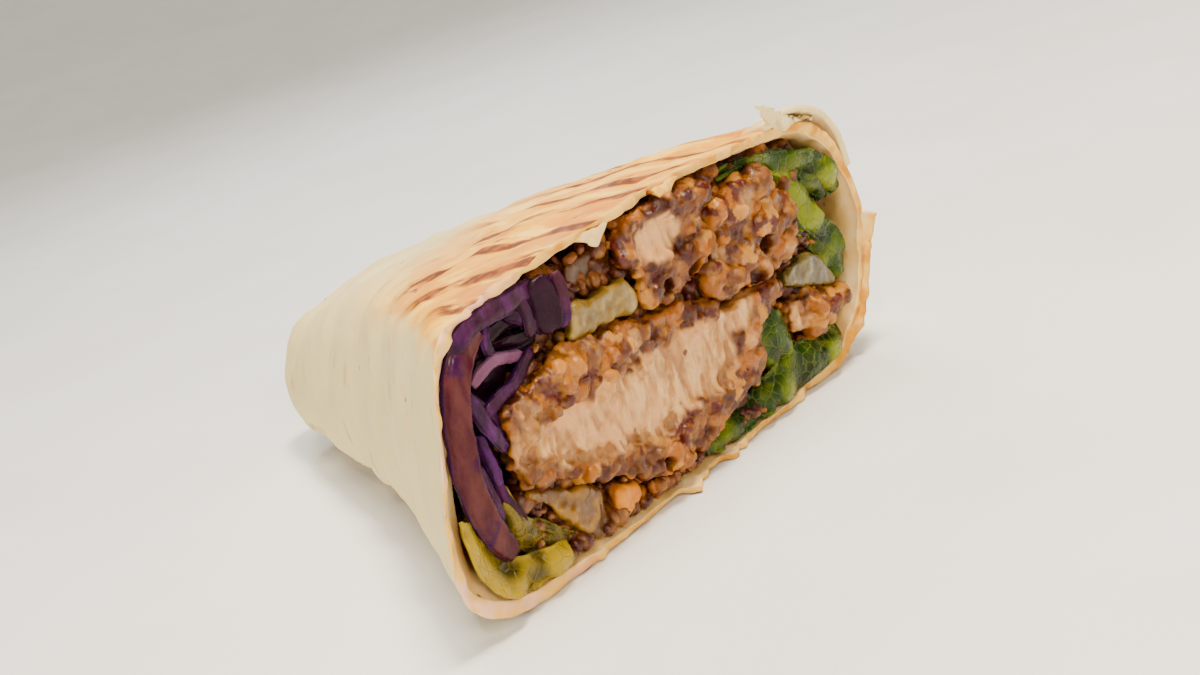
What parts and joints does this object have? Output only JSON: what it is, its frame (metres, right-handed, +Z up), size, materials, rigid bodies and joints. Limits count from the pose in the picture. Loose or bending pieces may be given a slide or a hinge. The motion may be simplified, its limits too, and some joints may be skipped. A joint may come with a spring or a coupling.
{
  "type": "chicken wrap half",
  "caption": "Half of a grilled chicken wrap: a folded flour tortilla cut on the slant, with breaded chicken, red cabbage, lettuce and sliced vegetables showing at the cut.",
  "frame": {"origin": "on the surface that the wrap lies on, under the middle of its bounding box", "axes": "+Z up; +Y along the wrap from the cut to the folded end; +X to the right as the cut is seen"},
  "size_m": [0.1093, 0.1554, 0.056],
  "materials": {
    "flour_tortilla": "pale cream baked dough with golden-brown grill lines",
    "fried_chicken": "orange-brown fried breading, with pale moist meat at the cut",
    "red_cabbage": "wet dark purple shreds",
    "green_lettuce": "wet green leaf",
    "pale_lettuce": "wet yellow-green leaf",
    "cucumber": "translucent pale yellow-green flesh",
    "onion": "translucent soft onion, glistening",
    "tomato": "wet orange flesh"
  },
  "bodies": {
    "root": {"tortilla": "flour_tortilla", "chicken_fillet": "fried_chicken", "chicken_strip_upper": "fried_chicken", "chicken_strip_right": "fried_chicken", "chicken_end": "fried_chicken", "red_cabbage": "red_cabbage", "lettuce_upper": "green_lettuce", "lettuce_lower": "green_lettuce", "lettuce_left": "pale_lettuce", "lettuce_pale": "pale_lettuce", "cucumber": "cucumber", "cucumber_deep": "cucumber", "onion": "onion", "onion_soft": "onion", "tomato": "tomato"}
  },
  "joints": []
}
